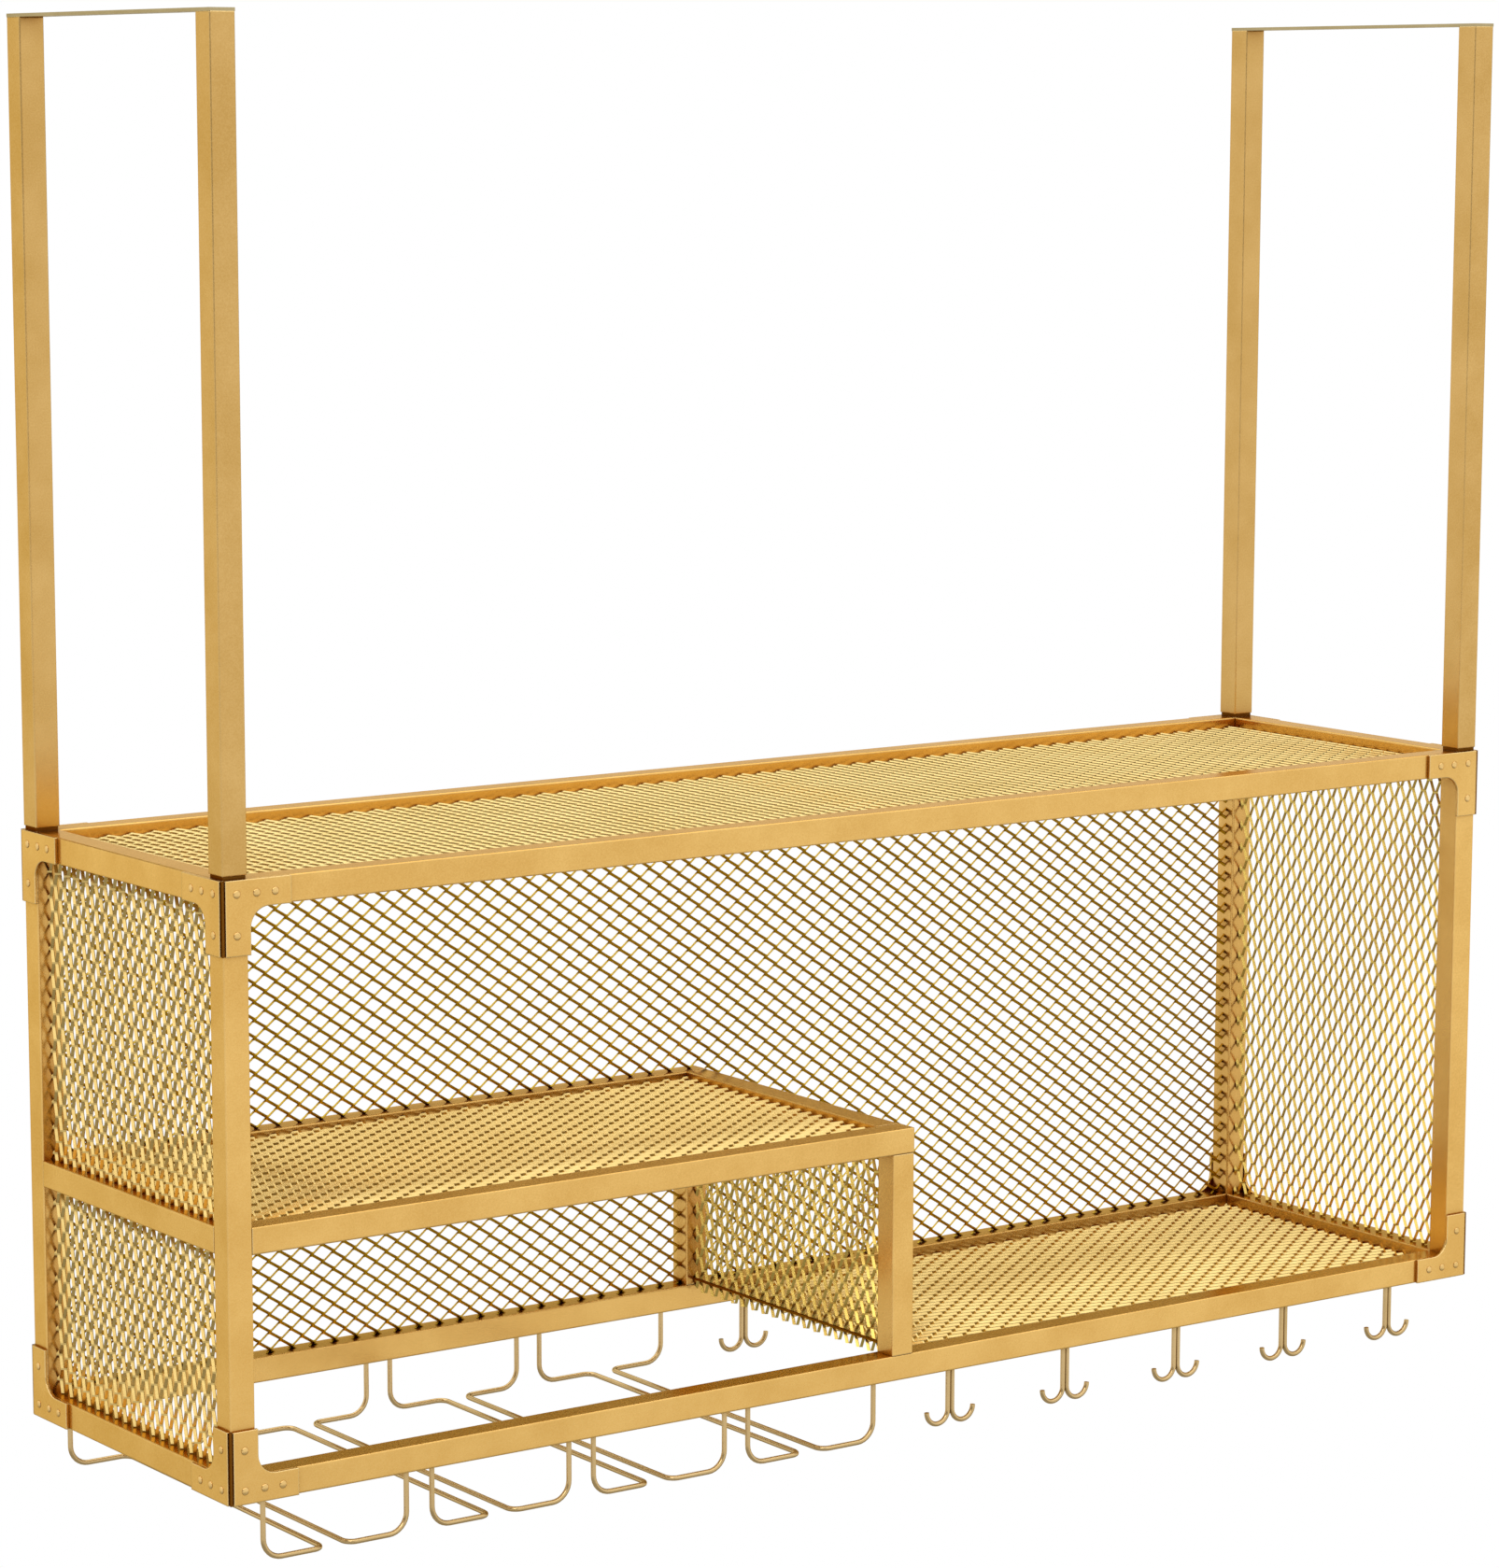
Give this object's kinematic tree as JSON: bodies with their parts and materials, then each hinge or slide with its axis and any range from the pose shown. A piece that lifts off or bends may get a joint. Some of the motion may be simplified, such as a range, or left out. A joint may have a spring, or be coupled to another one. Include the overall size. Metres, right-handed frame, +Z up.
{
  "type": "hanging wine glass rack",
  "caption": "Ceiling-hung square-tube rack with expanded-metal shelves and panels, wire guides for wine glass stems under one bay and double hooks under the other.",
  "frame": {"origin": "centre of the rectangle of the four ceiling screw holes, on the ceiling plane", "axes": "+X along the rack, to the right seen from its open front; +Y from the open front to the mesh back; +Z up to the ceiling"},
  "size_m": [1.205, 0.309, 1.099],
  "materials": {
    "frame": "satin metallic gold coat",
    "mesh": "satin metallic gold coat on expanded steel",
    "wire": "satin metallic gold coat on round steel wire",
    "spigot": "dark coat"
  },
  "bodies": {
    "root": {"back_net": "mesh", "back_net_lower_left": "mesh", "bottom_rail_front": "frame", "bottom_rail_left": "frame", "bottom_rail_rear": "frame", "bottom_rail_right": "frame", "cage_post_front_left": "frame", "cage_post_front_right": "frame", "cage_post_rear_left": "frame", "cage_post_rear_right": "frame", "ceiling_strap_left": "frame", "ceiling_strap_right": "frame", "corner_plates_bottom_front_left": "frame", "corner_plates_bottom_front_right": "frame", "corner_plates_bottom_rear_left": "frame", "corner_plates_bottom_rear_right": "frame", "corner_plates_top_front_left": "frame", "corner_plates_top_front_right": "frame", "corner_plates_top_rear_left": "frame", "corner_plates_top_rear_right": "frame", "double_hook_front_1": "wire", "double_hook_front_2": "wire", "double_hook_front_3": "wire", "double_hook_front_4": "wire", "double_hook_front_5": "wire", "double_hook_rear_1": "wire", "double_hook_rear_2": "wire", "double_hook_rear_3": "wire", "double_hook_rear_4": "wire", "double_hook_rear_5": "wire", "end_net_lower_left": "mesh", "end_net_right": "mesh", "end_net_upper_left": "mesh", "floor_net": "mesh", "glass_shelf_net": "mesh", "hanger_post_front_left": "frame", "hanger_post_front_right": "frame", "hanger_post_rear_left": "frame", "hanger_post_rear_right": "frame", "hanger_spigots": "spigot", "mid_rail_front": "frame", "mid_rail_left": "frame", "mid_rail_rear": "frame", "mid_rail_right": "frame", "partition_net": "mesh", "partition_post_front": "frame", "partition_post_rear": "frame", "stem_guide_1_left": "wire", "stem_guide_1_right": "wire", "stem_guide_2_left": "wire", "stem_guide_2_right": "wire", "stem_guide_3_left": "wire", "stem_guide_3_right": "wire", "stem_guide_4_left": "wire", "stem_guide_4_right": "wire", "top_rail_front": "frame", "top_rail_left": "frame", "top_rail_rear": "frame", "top_rail_right": "frame", "top_shelf_net": "mesh"}
  },
  "joints": []
}
